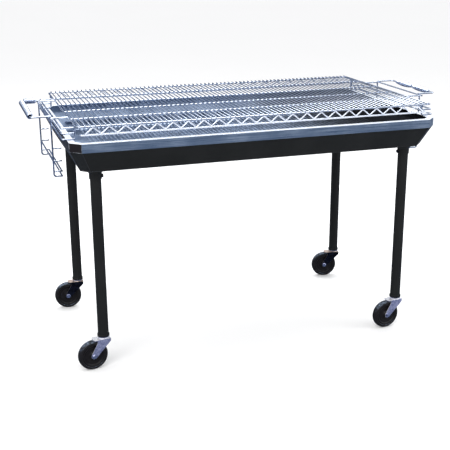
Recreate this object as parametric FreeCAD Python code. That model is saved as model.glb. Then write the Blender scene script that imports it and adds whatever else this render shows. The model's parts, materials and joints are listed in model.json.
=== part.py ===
"""Long open charcoal grill: a clipped-corner sheet-metal firebox on four tube legs with swivel casters,
and a chrome wire cooking grate that lifts on end ladders.

Millimetres, +Z up, +X along the firebox, -Y the long side that faces the cook.
The origin is on the floor, under the centre of the grill. Each function makes one sub-part."""

import FreeCAD, Part
import math
import os

V = FreeCAD.Vector

# Firebox
RIM_LENGTH = 1566.0
RIM_WIDTH = 890.0
RIM_HEIGHT = 980.0
CORNER_CLIP = 42.0
RIM_BAND = 36.0
RIM_LEDGE = 26.0
RIM_THICKNESS = 3.0
SHEET = 2.5
TUB_DEPTH = 120.0
TUB_TAPER = 40.0
CLIP_AT_FLOOR = 34.0

# Charcoal grate
CHARCOAL_DROP = 72.0
CHARCOAL_BAR_DIAMETER = 6.0
CHARCOAL_BAR_PITCH = 19.05
CHARCOAL_RAIL_DIAMETER = 9.0
CHARCOAL_RAIL_Y = (-210.0, 210.0)
CHARCOAL_END_GAP = 79.0
LEDGE_WIDTH = 22.0
LEDGE_THICKNESS = 3.0
LEDGE_OVERHANG = 20.0

# Legs
LEG_X = 678.0
LEG_Y = 344.0
LEG_DIAMETER = 45.0
LEG_WALL = 2.5
LEG_RING_RADIUS = 25.5
LEG_RING_HEIGHT = 10.0
LEG_RING_CHAMFER = 1.5
LEG_BOTTOM = 141.0
COLLAR_FLANGE_RADIUS = 38.0
COLLAR_RADIUS = 25.5
COLLAR_HEIGHT = 40.0
COLLAR_FLANGE = 4.0
COLLAR_CONE = 12.0
CLAMP_SCREW_LIFT = 10.0
CLAMP_SCREW_STICKOUT = 6.0
SCREW_DIAMETER = 8.0
SCREW_HEAD_FLATS = 13.0
SCREW_HEAD_LENGTH = 5.5

# Casters
WHEEL_DIAMETER = 127.0
WHEEL_WIDTH = 32.0
TYRE_DEPTH = 13.0
SEAT_SETBACK = 2.0
HUB_RADIUS = 14.0
HUB_SIDE_GAP = 0.5
DISH_RADIUS = 40.0
TRAIL = 50.0
AXLE_DIAMETER = 10.0
RUNNING_CLEARANCE = 0.05
SLIP_CLEARANCE = 0.1
FORK_INNER_WIDTH = 37.0
FORK_PLATE = 2.5
FORK_TOP_DROP = 9.0
FORK_TOP_BACK = 48.0
FORK_TOP_FRONT = 26.0
FORK_TOP_THICKNESS = 3.0
FORK_CORNER_RADIUS = 9.0
FORK_EYE_RADIUS = 12.5
CHEEK_BACK = 33.0
CHEEK_LIP = 12.0
KINGPIN_DIAMETER = 12.0
RACE_DIAMETER = 44.0
RACE_DEPTH = 5.0
BEARING_GAP = 0.3
PLUG_HEIGHT = 32.0
AXLE_HEAD_FLATS = 16.0
AXLE_HEAD_LENGTH = 6.0

# Cooking grate
GRATE_HALF_LENGTH = 751.0
GRATE_HALF_WIDTH = 418.0
ROD_DIAMETER = 4.5
ROD_PITCH = 20.0
FRAME_WIRE = 6.5
TRUSS_WIRE = 5.0
TRUSS_HEIGHT = 32.0
TRUSS_TOP_LIFT = 60.0
TRUSS_PERIODS = 23
TRUSS_END_GAP = 30.0
TRUSS_OVERSHOOT = 1.6
TRUSS_BEND_RADIUS = 5.0
WELD_BITE = 0.5
SUPPORT_WIRE = 6.0
SUPPORT_Y = (-251.0, -84.0, 84.0, 251.0)

# Rest steps, ladders and handles at the two ends of the cooking grate
STEP_WIRE = 7.0
STEP_HALF_WIDTH = 355.0
STEP_REACH = 800.0
STEP_LIFTS = (0.3, 21.0, 41.0)
STEP_NESTING = 8.0
LADDER_X = 822.0
LADDER_HALF_WIDTH = 205.0
LADDER_INNER_X = 786.5
LADDER_BOTTOM = 803.0
LADDER_RUNGS = (823.0, 866.0, 918.0)
LADDER_BEND_RADIUS = 9.0
HANDLE_X = 898.0
HANDLE_STANDOFF = 6.0
HANDLE_HALF_WIDTH = 195.0
HANDLE_WIRE = 7.0
GRIP_LENGTH = 150.0
GRIP_RADIUS = 12.5
GRIP_END_RADIUS = 6.0
GRIP_GAP = 8.0
SLEEVE_HALF_LENGTH = 168.0
SLEEVE_END_RADIUS = 4.0
SLEEVE_ARM_GAP = 10.0
SLEEVE_ARM_LENGTH = 54.0

FLOOR_Z = RIM_HEIGHT - TUB_DEPTH
BAND_Z = RIM_HEIGHT - RIM_BAND
TRUSS_TOP_Z = RIM_HEIGHT + TRUSS_TOP_LIFT
TRUSS_BOTTOM_Z = TRUSS_TOP_Z - TRUSS_HEIGHT
ROD_Z = TRUSS_TOP_Z + FRAME_WIRE / 2 + ROD_DIAMETER / 2 - WELD_BITE
AXLE_Z = WHEEL_DIAMETER / 2
HANDLE_Z = TRUSS_TOP_Z + (STEP_WIRE - 0.5) / 2 + HANDLE_WIRE / 2 - WELD_BITE

SIDES = {"front": 0, "right_front": 1, "right": 2, "right_back": 3,
         "back": 4, "left_back": 5, "left": 6, "left_front": 7}
CORNERS = ("right_front", "right_back", "left_back", "left_front")
LEGS = {"front_left": (-LEG_X, -LEG_Y), "front_right": (LEG_X, -LEG_Y),
        "back_left": (-LEG_X, LEG_Y), "back_right": (LEG_X, LEG_Y)}
# How far each caster stands turned from trailing straight along -X.
SWIVEL_DEG = {"front_left": 10.0, "front_right": 8.0, "back_left": -3.0, "back_right": -10.0}
ENDS = {"left": -1.0, "right": 1.0}


def save(name, *shapes):
    """Write one node: a single solid, or several separate solids that share a name."""
    solids = [solid for shape in shapes for solid in shape.Solids]
    shape = solids[0] if len(solids) == 1 else Part.makeCompound(solids)
    if not shape.isValid() or not solids:
        raise RuntimeError(name + " is not a valid solid")
    shape.exportStep(os.path.join("parts", name + ".step"))


# ---------------------------------------------------------------- sheet metal

def octagon(half_x, half_y, clip, z):
    """Corners of a rectangle with clipped corners, anticlockwise from the left end of the front side."""
    return [V(-half_x + clip, -half_y, z), V(half_x - clip, -half_y, z),
            V(half_x, -half_y + clip, z), V(half_x, half_y - clip, z),
            V(half_x - clip, half_y, z), V(-half_x + clip, half_y, z),
            V(-half_x, half_y - clip, z), V(-half_x, -half_y + clip, z)]


def inset(half_x, half_y, clip, wall):
    """The same outline moved inwards by a wall thickness on all eight sides."""
    return half_x - wall, half_y - wall, clip - wall * (2.0 - math.sqrt(2.0))


def closed_prism(lower, upper):
    """Solid with flat faces between two loops with the same number of corners."""
    count = len(lower)
    faces = [Part.Face(Part.makePolygon(lower + lower[:1])), Part.Face(Part.makePolygon(upper + upper[:1]))]
    for i in range(count):
        j = (i + 1) % count
        loop = [lower[i], lower[j], upper[j], upper[i]]
        faces.append(Part.Face(Part.makePolygon(loop + loop[:1])))
    solid = Part.Solid(Part.makeShell(faces))
    if solid.Volume < 0:
        solid.reverse()
    return solid


def side_segment(side, outer_low, inner_low, outer_high, inner_high):
    """One side of an eight-sided ring, mitred where it meets its neighbours."""
    i = SIDES[side]
    j = (i + 1) % 8
    lower = [outer_low[i], outer_low[j], inner_low[j], inner_low[i]]
    upper = [outer_high[i], outer_high[j], inner_high[j], inner_high[i]]
    return closed_prism(lower, upper)


def tub_wall(side):
    """One wall of the tub: upright behind the rim band, then leaning in down to the floor."""
    top = inset(RIM_LENGTH / 2, RIM_WIDTH / 2, CORNER_CLIP, RIM_THICKNESS)
    low = (top[0] - TUB_TAPER, top[1] - TUB_TAPER, CLIP_AT_FLOOR)
    levels = [(FLOOR_Z, low), (BAND_Z, top), (RIM_HEIGHT - RIM_THICKNESS, top)]
    pieces = []
    for (z0, size0), (z1, size1) in zip(levels, levels[1:]):
        pieces.append(side_segment(side,
                                   octagon(*size0, z0), octagon(*inset(*size0, SHEET), z0),
                                   octagon(*size1, z1), octagon(*inset(*size1, SHEET), z1)))
    return pieces[0].fuse(pieces[1]).removeSplitter()


def rim_side(side):
    """One length of the rim: a band on the outside and a ledge on top, mitred at both ends."""
    outer = (RIM_LENGTH / 2, RIM_WIDTH / 2, CORNER_CLIP)
    band = inset(*outer, RIM_THICKNESS)
    ledge = inset(*outer, RIM_LEDGE)
    ledge_z = RIM_HEIGHT - RIM_THICKNESS
    upright = side_segment(side, octagon(*outer, BAND_Z), octagon(*band, BAND_Z),
                           octagon(*outer, ledge_z), octagon(*band, ledge_z))
    flat = side_segment(side, octagon(*outer, ledge_z), octagon(*ledge, ledge_z),
                        octagon(*outer, RIM_HEIGHT), octagon(*ledge, RIM_HEIGHT))
    return upright.fuse(flat).removeSplitter()


def tub_floor():
    """Floor sheet, under the lower edges of the eight walls."""
    half_x, half_y, _ = inset(RIM_LENGTH / 2, RIM_WIDTH / 2, CORNER_CLIP, RIM_THICKNESS)
    size = (half_x - TUB_TAPER, half_y - TUB_TAPER, CLIP_AT_FLOOR)
    return closed_prism(octagon(*size, FLOOR_Z - SHEET), octagon(*size, FLOOR_Z))


# ---------------------------------------------------------------- charcoal grate

def tub_half_width(z):
    """Half the inside width of the tub at a height."""
    drop = max(0.0, BAND_Z - z) / (BAND_Z - FLOOR_Z)
    return RIM_WIDTH / 2 - RIM_THICKNESS - SHEET - TUB_TAPER * drop


def charcoal_bars(bar_z, half_width, half_length):
    """Round bars across the firebox that the charcoal lies on."""
    count = int(half_length / CHARCOAL_BAR_PITCH)
    places = [i * CHARCOAL_BAR_PITCH for i in range(-count, count + 1)]
    return [straight_wire(V(x, -half_width, bar_z), V(x, half_width, bar_z), CHARCOAL_BAR_DIAMETER)
            for x in places]


def charcoal_rails(bar_z, half_length):
    """Two long rails under the bars."""
    z = bar_z - CHARCOAL_BAR_DIAMETER / 2 - CHARCOAL_RAIL_DIAMETER / 2 + WELD_BITE
    return [straight_wire(V(-half_length, y, z), V(half_length, y, z), CHARCOAL_RAIL_DIAMETER)
            for y in CHARCOAL_RAIL_Y]


def charcoal_ledges(bar_z, half_length):
    """Flat ledges welded inside the long walls, under the ends of the bars."""
    top = bar_z - CHARCOAL_BAR_DIAMETER / 2
    reach = tub_half_width(top - LEDGE_THICKNESS)
    size = (2 * half_length, LEDGE_WIDTH, LEDGE_THICKNESS)
    front = Part.makeBox(*size, V(-half_length, -reach, top - LEDGE_THICKNESS))
    back = Part.makeBox(*size, V(-half_length, reach - LEDGE_WIDTH, top - LEDGE_THICKNESS))
    return [front, back]


# ---------------------------------------------------------------- legs

def revolved(profile, x, y):
    """Solid of revolution about a vertical axis from (radius, height) points."""
    points = [V(radius, 0, z) for radius, z in profile]
    face = Part.Face(Part.makePolygon(points + points[:1]))
    solid = face.revolve(V(0, 0, 0), V(0, 0, 1), 360)
    solid.translate(V(x, y, 0))
    return solid


def leg_collar(x, y):
    """Flared socket welded under the floor, with a cross hole for its clamp screw."""
    top = FLOOR_Z - SHEET
    bore = LEG_DIAMETER / 2 + SLIP_CLEARANCE
    flange = COLLAR_FLANGE_RADIUS
    flange_low = top - COLLAR_FLANGE
    profile = [(bore, top - COLLAR_HEIGHT), (COLLAR_RADIUS, top - COLLAR_HEIGHT),
               (COLLAR_RADIUS, flange_low - COLLAR_CONE), (flange, flange_low), (flange, top), (bore, top)]
    side = math.copysign(1.0, x)
    hole = Part.makeCylinder(SCREW_DIAMETER / 2 + SLIP_CLEARANCE, COLLAR_RADIUS + 5,
                             V(x, y, clamp_screw_z()), V(-side, 0, 0))
    return revolved(profile, x, y).cut(hole)


def clamp_screw_z():
    """Height of the clamp screws, in the straight part of the collars."""
    return FLOOR_Z - SHEET - COLLAR_HEIGHT + CLAMP_SCREW_LIFT


def leg_tube(x, y):
    """Round tube from the caster plug up to the underside of the floor, with a ring round its foot."""
    top = FLOOR_Z - SHEET
    outer = LEG_DIAMETER / 2
    inner = outer - LEG_WALL
    ring_top = LEG_BOTTOM + LEG_RING_HEIGHT
    ring = LEG_RING_RADIUS
    profile = [(inner, LEG_BOTTOM), (ring, LEG_BOTTOM), (ring, ring_top - LEG_RING_CHAMFER),
               (ring - LEG_RING_CHAMFER, ring_top), (outer, ring_top), (outer, top), (inner, top)]
    return revolved(profile, x, y)


def hexagon(x, y, z, across_flats, length, direction):
    """Hexagonal head or nut whose axis starts at a point and runs along a direction."""
    radius = across_flats / math.sqrt(3.0)
    points = [V(radius * math.cos(math.radians(60 * k)), radius * math.sin(math.radians(60 * k)), 0)
              for k in range(6)]
    prism = Part.Face(Part.makePolygon(points + points[:1])).extrude(V(0, 0, length))
    turn = FreeCAD.Rotation(V(0, 0, 1), direction)
    prism.Placement = FreeCAD.Placement(V(x, y, z), turn)
    return prism


def clamp_screw(x, y):
    """Hex screw through the inner side of a collar, tight on the leg."""
    side = math.copysign(1.0, x)
    start = x - side * (LEG_DIAMETER / 2 + SLIP_CLEARANCE)
    z = clamp_screw_z()
    length = COLLAR_RADIUS - LEG_DIAMETER / 2 + CLAMP_SCREW_STICKOUT
    shank = Part.makeCylinder(SCREW_DIAMETER / 2, length, V(start, y, z), V(-side, 0, 0))
    head = hexagon(start - side * length, y, z, SCREW_HEAD_FLATS, SCREW_HEAD_LENGTH, V(-side, 0, 0))
    return shank.fuse(head).removeSplitter()


# ---------------------------------------------------------------- casters

def caster_stem(x, y):
    """Plug in the leg, upper bearing race and kingpin: what stays with the leg as a caster swivels."""
    plug = LEG_DIAMETER / 2 - LEG_WALL - SLIP_CLEARANCE
    pin = KINGPIN_DIAMETER / 2
    race = RACE_DIAMETER / 2
    plug_top = LEG_BOTTOM + PLUG_HEIGHT
    race_low = LEG_BOTTOM - RACE_DEPTH
    plate_low = LEG_BOTTOM - FORK_TOP_DROP - FORK_TOP_THICKNESS
    head_top = plate_low - BEARING_GAP
    profile = [(0, plug_top), (plug - 1.5, plug_top), (plug, plug_top - 2), (plug, LEG_BOTTOM),
               (race - 1, LEG_BOTTOM), (race, LEG_BOTTOM - 1.5), (race, race_low + 1), (race - 2, race_low),
               (pin, race_low), (pin, head_top), (pin + 3, head_top), (pin + 2, head_top - 3),
               (0, head_top - 3)]
    return revolved(profile, x, y)


def tangent_point(centre, radius, outside, turn):
    """Point where a line from an outside point touches a circle in the XZ plane."""
    reach = outside - centre
    angle = math.atan2(reach.z, reach.x) + turn * math.acos(radius / reach.Length)
    return centre + V(radius * math.cos(angle), 0, radius * math.sin(angle))


def fork_cheek(x, inner_y, direction):
    """One side plate of a fork: wide at the bearing, narrowing to a round eye on the axle."""
    top = LEG_BOTTOM - FORK_TOP_DROP
    eye = V(x - TRAIL, 0, AXLE_Z)
    back = V(x - CHEEK_BACK, 0, top)
    back_lip = V(x - CHEEK_BACK, 0, top - CHEEK_LIP)
    front = V(x + FORK_TOP_FRONT - 1, 0, top)
    front_lip = V(x + FORK_TOP_FRONT - 1, 0, top - CHEEK_LIP)
    lower = tangent_point(eye, FORK_EYE_RADIUS, front_lip, -1)
    upper = tangent_point(eye, FORK_EYE_RADIUS, back_lip, 1)
    bottom = eye - V(math.sin(math.radians(20)), 0, math.cos(math.radians(20))) * FORK_EYE_RADIUS
    edges = [Part.LineSegment(back, front).toShape(), Part.LineSegment(front, front_lip).toShape(),
             Part.LineSegment(front_lip, lower).toShape(), Part.Arc(lower, bottom, upper).toShape(),
             Part.LineSegment(upper, back_lip).toShape(), Part.LineSegment(back_lip, back).toShape()]
    plate = Part.Face(Part.Wire(edges)).extrude(V(0, direction * FORK_PLATE, 0))
    plate.translate(V(0, inner_y, 0))
    return plate


def fork(x, y):
    """Swivel fork: lower bearing race, top plate and two cheeks, pressed from one sheet."""
    half = FORK_INNER_WIDTH / 2
    top = LEG_BOTTOM - FORK_TOP_DROP
    bore = KINGPIN_DIAMETER / 2 + RUNNING_CLEARANCE
    race_top = LEG_BOTTOM - RACE_DEPTH - BEARING_GAP
    race = RACE_DIAMETER / 2
    length = FORK_TOP_BACK + FORK_TOP_FRONT
    plate = Part.makeBox(length, 2 * half + 2 * FORK_PLATE, FORK_TOP_THICKNESS,
                         V(x - FORK_TOP_BACK, y - half - FORK_PLATE, top - FORK_TOP_THICKNESS))
    corners = [edge for edge in plate.Edges if abs(edge.tangentAt(edge.FirstParameter).z) > 0.9]
    plate = plate.makeFillet(FORK_CORNER_RADIUS, [edge for edge in corners if edge.CenterOfMass.x < x])
    race_profile = [(bore, top), (race + 1, top), (race + 1, top + 1.5),
                    (race - 1, race_top), (bore, race_top)]
    lower_race = revolved(race_profile, x, y)
    cheeks = [fork_cheek(x, y - half, -1), fork_cheek(x, y + half, 1)]
    body = plate.fuse([lower_race] + cheeks).removeSplitter()
    kingpin_hole = Part.makeCylinder(bore, 20, V(x, y, top - 8))
    axle_hole = Part.makeCylinder(AXLE_DIAMETER / 2 + SLIP_CLEARANCE, 80,
                                  V(x - TRAIL, y - 40, AXLE_Z), V(0, 1, 0))
    return body.cut([kingpin_hole, axle_hole])


def axle(x, y):
    """Axle bolt with a hex head in front and a nut behind."""
    half = FORK_INNER_WIDTH / 2 + FORK_PLATE
    shank = Part.makeCylinder(AXLE_DIAMETER / 2, 2 * half + 9, V(x - TRAIL, y - half - 1, AXLE_Z), V(0, 1, 0))
    head = hexagon(x - TRAIL, y - half, AXLE_Z, AXLE_HEAD_FLATS, AXLE_HEAD_LENGTH, V(0, -1, 0))
    nut = hexagon(x - TRAIL, y + half, AXLE_Z, AXLE_HEAD_FLATS, AXLE_HEAD_LENGTH, V(0, 1, 0))
    return shank.fuse([head, nut]).removeSplitter()


def wheel_profile(points, x, y):
    """Solid of revolution about a wheel's axle from (radius, offset across the wheel) points."""
    corners = [V(radius, across, 0) for radius, across in points]
    face = Part.Face(Part.makePolygon(corners + corners[:1]))
    solid = face.revolve(V(0, 0, 0), V(0, 1, 0), 360)
    solid.translate(V(x - TRAIL, y, AXLE_Z))
    return solid


def tyre(x, y):
    """Hard rubber tread with rounded shoulders."""
    outer = WHEEL_DIAMETER / 2
    seat = outer - TYRE_DEPTH
    half = WHEEL_WIDTH / 2
    shoulder = [(outer, half - 7), (outer - 2, half - 3), (outer - 6, half), (seat, half - SEAT_SETBACK)]
    other_shoulder = [(radius, -across) for radius, across in reversed(shoulder)]
    return wheel_profile(other_shoulder + shoulder, x, y)


def wheel_core(x, y):
    """Dished core with a thick hub that runs on the axle."""
    seat = WHEEL_DIAMETER / 2 - TYRE_DEPTH
    bore = AXLE_DIAMETER / 2 + RUNNING_CLEARANCE
    half = WHEEL_WIDTH / 2
    hub_half = FORK_INNER_WIDTH / 2 - HUB_SIDE_GAP
    face = [(bore, hub_half), (HUB_RADIUS, hub_half), (HUB_RADIUS + 3, half - 6), (DISH_RADIUS, half - 9),
            (DISH_RADIUS + 4, half - SEAT_SETBACK), (seat, half - SEAT_SETBACK)]
    other_face = [(radius, -across) for radius, across in face]
    return wheel_profile(other_face + face[::-1], x, y)


# ---------------------------------------------------------------- wire work

def bend(points, index, radius):
    """Start, middle and end of the arc that rounds one corner of a route."""
    before, corner, after = points[index - 1], points[index], points[(index + 1) % len(points)]
    towards = (before - corner).normalize()
    away = (after - corner).normalize()
    half_angle = towards.getAngle(away) / 2
    setback = radius / math.tan(half_angle)
    middle = (towards + away).normalize() * (radius / math.sin(half_angle) - radius)
    return corner + towards * setback, corner + middle, corner + away * setback


def wire_along(points, diameter, radius, closed=False):
    """Round wire that follows straight runs joined by tangent bends."""
    corners = range(len(points)) if closed else range(1, len(points) - 1)
    arcs = [bend(points, i, radius) for i in corners]
    edges = []
    here = arcs[-1][2] if closed else points[0]
    for start, middle, end in arcs:
        edges.append(Part.LineSegment(here, start).toShape())
        edges.append(Part.Arc(start, middle, end).toShape())
        here = end
    if not closed:
        edges.append(Part.LineSegment(here, points[-1]).toShape())
    path = Part.Wire(edges)
    first = edges[0]
    start_point = first.Vertexes[0].Point
    direction = first.tangentAt(first.FirstParameter)
    ring = Part.Wire(Part.makeCircle(diameter / 2, start_point, direction))
    return path.makePipeShell([ring], True, True)


def straight_wire(start, end, diameter):
    """Straight round wire between two points."""
    run = end - start
    return Part.makeCylinder(diameter / 2, run.Length, start, run)


def grate_rods():
    """Cooking rods, side by side along the whole grate."""
    count = int((GRATE_HALF_LENGTH - 8) / ROD_PITCH)
    reach = GRATE_HALF_WIDTH + FRAME_WIRE / 2
    places = [i * ROD_PITCH for i in range(-count, count + 1)]
    return [straight_wire(V(x, -reach, ROD_Z), V(x, reach, ROD_Z), ROD_DIAMETER) for x in places]


def grate_frame():
    """Closed rectangle of wire round the grate, under the ends of the rods."""
    x, y, z = GRATE_HALF_LENGTH, GRATE_HALF_WIDTH, TRUSS_TOP_Z
    return wire_along([V(-x, -y, z), V(x, -y, z), V(x, y, z), V(-x, y, z)], FRAME_WIRE, 16.0, closed=True)


def truss_bottom_rails():
    """Lower wire of the truss along each long side."""
    x = GRATE_HALF_LENGTH - 12
    return [straight_wire(V(-x, y, TRUSS_BOTTOM_Z), V(x, y, TRUSS_BOTTOM_Z), FRAME_WIRE)
            for y in (-GRATE_HALF_WIDTH, GRATE_HALF_WIDTH)]


def truss_zigzag(y):
    """Zigzag wire between the upper and lower wires of one truss."""
    inside = (FRAME_WIRE + TRUSS_WIRE) / 2 - 2 * WELD_BITE
    high = TRUSS_TOP_Z - inside
    low = TRUSS_BOTTOM_Z + inside
    half_length = GRATE_HALF_LENGTH - TRUSS_END_GAP
    step = half_length / TRUSS_PERIODS
    points = []
    for i in range(2 * TRUSS_PERIODS + 1):
        # The corners stand a little past the bends, so the bends themselves reach the rails.
        z = high + TRUSS_OVERSHOOT if i % 2 else low - TRUSS_OVERSHOOT
        points.append(V(-half_length + i * step, y, z))
    return wire_along(points, TRUSS_WIRE, TRUSS_BEND_RADIUS)


def support_wires():
    """Long wires under the rods, between the two trusses."""
    x = GRATE_HALF_LENGTH
    z = ROD_Z - ROD_DIAMETER / 2 - SUPPORT_WIRE / 2 + WELD_BITE
    return [straight_wire(V(-x, y, z), V(x, y, z), SUPPORT_WIRE) for y in SUPPORT_Y]


def rest_step(end, index):
    """One rest step: a wire down from the end of the grate, out over the end of the rim, across, and back."""
    inner = end * GRATE_HALF_LENGTH
    outer = end * STEP_REACH
    z = RIM_HEIGHT + STEP_WIRE / 2 + STEP_LIFTS[index]
    top = TRUSS_TOP_Z - FRAME_WIRE / 2 + WELD_BITE
    y = STEP_HALF_WIDTH - index * STEP_NESTING
    half_route = [V(inner, y, top), V(inner, y, z), V(outer, y, z)]
    other_half = [V(p.x, -p.y, p.z) for p in reversed(half_route)]
    return wire_along(half_route + other_half, STEP_WIRE, 6.0)


def ladder_upright(end, side):
    """Upright of an end ladder: out from the grate, down outside the firebox, and back in at its foot."""
    y = side * LADDER_HALF_WIDTH
    top = TRUSS_TOP_Z
    start = end * (GRATE_HALF_LENGTH + FRAME_WIRE / 2 - WELD_BITE)
    outer = end * LADDER_X
    foot = end * LADDER_INNER_X
    route = [V(start, y, top), V(outer, y, top), V(outer, y, LADDER_BOTTOM), V(foot, y, LADDER_BOTTOM)]
    return wire_along(route, STEP_WIRE, LADDER_BEND_RADIUS)


def ladder_rungs(end):
    """Short rungs from the uprights in towards the firebox."""
    inner = end * LADDER_INNER_X
    outer = end * (LADDER_X - STEP_WIRE / 2 + WELD_BITE)
    spots = [(side * LADDER_HALF_WIDTH, z) for z in LADDER_RUNGS for side in (-1, 1)]
    return [straight_wire(V(inner, y, z), V(outer, y, z), STEP_WIRE - 1) for y, z in spots]


def ladder_bars(end):
    """Long bars of a ladder: two at its foot, one outside between the uprights, and one under the handle."""
    reach = LADDER_HALF_WIDTH - STEP_WIRE / 2 + WELD_BITE
    foot = LADDER_INNER_X + 3
    under_handle = (LADDER_X + HANDLE_STANDOFF, TRUSS_TOP_Z, LADDER_HALF_WIDTH + 12)
    spots = [(foot, LADDER_BOTTOM, reach), (foot, LADDER_RUNGS[0], reach), (LADDER_X, LADDER_RUNGS[1], reach),
             under_handle]
    return [straight_wire(V(end * x, -y, z), V(end * x, y, z), STEP_WIRE - 0.5) for x, z, y in spots]


def handle_wire(end):
    """Lifting handle: a flat bow that lies on the bar over the ladder tops and reaches out from it."""
    y = HANDLE_HALF_WIDTH
    foot = end * (LADDER_X + HANDLE_STANDOFF - 8)
    points = [V(foot, -y, HANDLE_Z), V(end * HANDLE_X, -y, HANDLE_Z),
              V(end * HANDLE_X, y, HANDLE_Z), V(foot, y, HANDLE_Z)]
    return wire_along(points, HANDLE_WIRE, 8.0)


def spindle_grip(end, centre_y):
    """Barrel-shaped coil grip on the handle, as the closed outline of its coil."""
    half = GRIP_LENGTH / 2
    bore = HANDLE_WIRE / 2 + SLIP_CLEARANCE
    ends = [V(bore, -half, 0), V(GRIP_END_RADIUS, -half, 0)]
    others = [V(GRIP_END_RADIUS, half, 0), V(bore, half, 0)]
    edges = [Part.LineSegment(ends[0], ends[1]).toShape(),
             Part.Arc(ends[1], V(GRIP_RADIUS, 0, 0), others[0]).toShape(),
             Part.LineSegment(others[0], others[1]).toShape(),
             Part.LineSegment(others[1], ends[0]).toShape()]
    solid = Part.Face(Part.Wire(edges)).revolve(V(0, 0, 0), V(0, 1, 0), 360)
    solid.translate(V(end * HANDLE_X, centre_y, HANDLE_Z))
    return solid


def sleeve_grip(start, direction, length):
    """Straight coil grip of even width with rounded ends, as the closed outline of its coil."""
    bore = Part.makeCylinder(HANDLE_WIRE / 2 + SLIP_CLEARANCE, length, start, direction)
    sleeve = Part.makeCylinder(GRIP_RADIUS, length, start, direction)
    rims = [edge for edge in sleeve.Edges if len(edge.Vertexes) == 1]
    return sleeve.makeFillet(SLEEVE_END_RADIUS, rims).cut(bore)


def sleeve_grips(end):
    """The two coil grips of the other handle: one along its cross bar and a short one on its back arm."""
    z = HANDLE_Z
    across = sleeve_grip(V(end * HANDLE_X, -SLEEVE_HALF_LENGTH, z), V(0, 1, 0), 2 * SLEEVE_HALF_LENGTH)
    arm_start = V(end * (HANDLE_X - SLEEVE_ARM_GAP), HANDLE_HALF_WIDTH, z)
    return [across, sleeve_grip(arm_start, V(-end, 0, 0), SLEEVE_ARM_LENGTH)]


# ---------------------------------------------------------------- the whole grill

def build_firebox():
    """Tub, rim and charcoal grate."""
    for side in ("front", "back", "left", "right"):
        save("tub_wall_" + side, tub_wall(side))
        save("rim_" + side, rim_side(side))
    save("tub_corner_plates", *[tub_wall(side) for side in CORNERS])
    save("rim_corners", *[rim_side(side) for side in CORNERS])
    save("tub_floor", tub_floor())
    bar_z = RIM_HEIGHT - CHARCOAL_DROP
    half_length = RIM_LENGTH / 2 - TUB_TAPER - CHARCOAL_END_GAP
    half_width = tub_half_width(bar_z - CHARCOAL_BAR_DIAMETER) - 4
    save("charcoal_grate_bars", *charcoal_bars(bar_z, half_width, half_length))
    save("charcoal_grate_rails", *charcoal_rails(bar_z, half_length))
    save("charcoal_grate_ledges", *charcoal_ledges(bar_z, half_length + LEDGE_OVERHANG))


def build_legs():
    """Collars, tubes, clamp screws and casters."""
    for place, (x, y) in LEGS.items():
        save("leg_collar_" + place, leg_collar(x, y))
        save("leg_" + place, leg_tube(x, y))
        save("caster_stem_" + place, caster_stem(x, y))
        for name, make in (("caster_fork_", fork), ("caster_axle_", axle), ("tyre_", tyre),
                           ("wheel_core_", wheel_core)):
            shape = make(x, y)
            shape.rotate(V(x, y, 0), V(0, 0, 1), SWIVEL_DEG[place])
            save(name + place, shape)
    save("leg_clamp_screws", *[clamp_screw(x, y) for x, y in LEGS.values()])


def build_cooking_grate():
    """Rods, trusses, rest steps, ladders and handles."""
    save("grate_rods", *grate_rods())
    save("grate_frame_wire", grate_frame())
    save("grate_support_wires", *support_wires())
    save("truss_bottom_wires", *truss_bottom_rails())
    save("truss_zigzags", truss_zigzag(-GRATE_HALF_WIDTH), truss_zigzag(GRATE_HALF_WIDTH))
    for name, end in ENDS.items():
        save("rest_steps_" + name, *[rest_step(end, index) for index in range(len(STEP_LIFTS))])
        save("ladder_uprights_" + name, ladder_upright(end, -1), ladder_upright(end, 1))
        save("ladder_rungs_" + name, *ladder_rungs(end))
        save("ladder_bars_" + name, *ladder_bars(end))
        save("handle_wire_" + name, handle_wire(end))
    middle = (GRIP_LENGTH + GRIP_GAP) / 2
    save("handle_grips_left", *sleeve_grips(ENDS["left"]))
    save("handle_grips_right", *[spindle_grip(ENDS["right"], side * middle) for side in (-1, 1)])


os.makedirs("parts", exist_ok=True)
build_firebox()
build_legs()
build_cooking_grate()
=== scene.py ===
"""Looks of a long open charcoal grill: a black clipped-corner firebox with a bare steel rim, four tube
legs on swivel casters, and a chrome wire cooking grate with lifting handles.

Metres, +Z up, +X along the firebox, -Y the long side that faces the cook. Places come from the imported
frame.
"""

import json
import logging
import math
from dataclasses import dataclass, field, fields
from enum import Enum
from typing import Callable, Dict, Iterable, List, Sequence, Tuple

import bmesh
import bpy
from mathutils import Matrix, Vector


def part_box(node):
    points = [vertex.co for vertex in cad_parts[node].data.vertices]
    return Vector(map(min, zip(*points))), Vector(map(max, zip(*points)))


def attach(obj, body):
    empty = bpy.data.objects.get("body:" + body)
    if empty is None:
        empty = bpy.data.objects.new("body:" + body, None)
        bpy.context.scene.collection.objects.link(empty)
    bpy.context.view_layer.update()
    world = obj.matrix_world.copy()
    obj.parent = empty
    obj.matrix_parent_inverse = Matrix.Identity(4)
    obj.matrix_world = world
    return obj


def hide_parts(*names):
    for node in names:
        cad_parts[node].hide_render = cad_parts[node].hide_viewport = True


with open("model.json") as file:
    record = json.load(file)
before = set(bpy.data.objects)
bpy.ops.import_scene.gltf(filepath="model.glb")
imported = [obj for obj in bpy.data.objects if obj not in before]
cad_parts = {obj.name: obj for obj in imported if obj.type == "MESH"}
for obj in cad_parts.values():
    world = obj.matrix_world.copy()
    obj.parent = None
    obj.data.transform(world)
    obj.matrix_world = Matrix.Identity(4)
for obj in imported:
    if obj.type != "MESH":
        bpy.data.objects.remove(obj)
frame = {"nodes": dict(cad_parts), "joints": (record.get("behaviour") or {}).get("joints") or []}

LOG = logging.getLogger("charcoal_grill")
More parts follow.
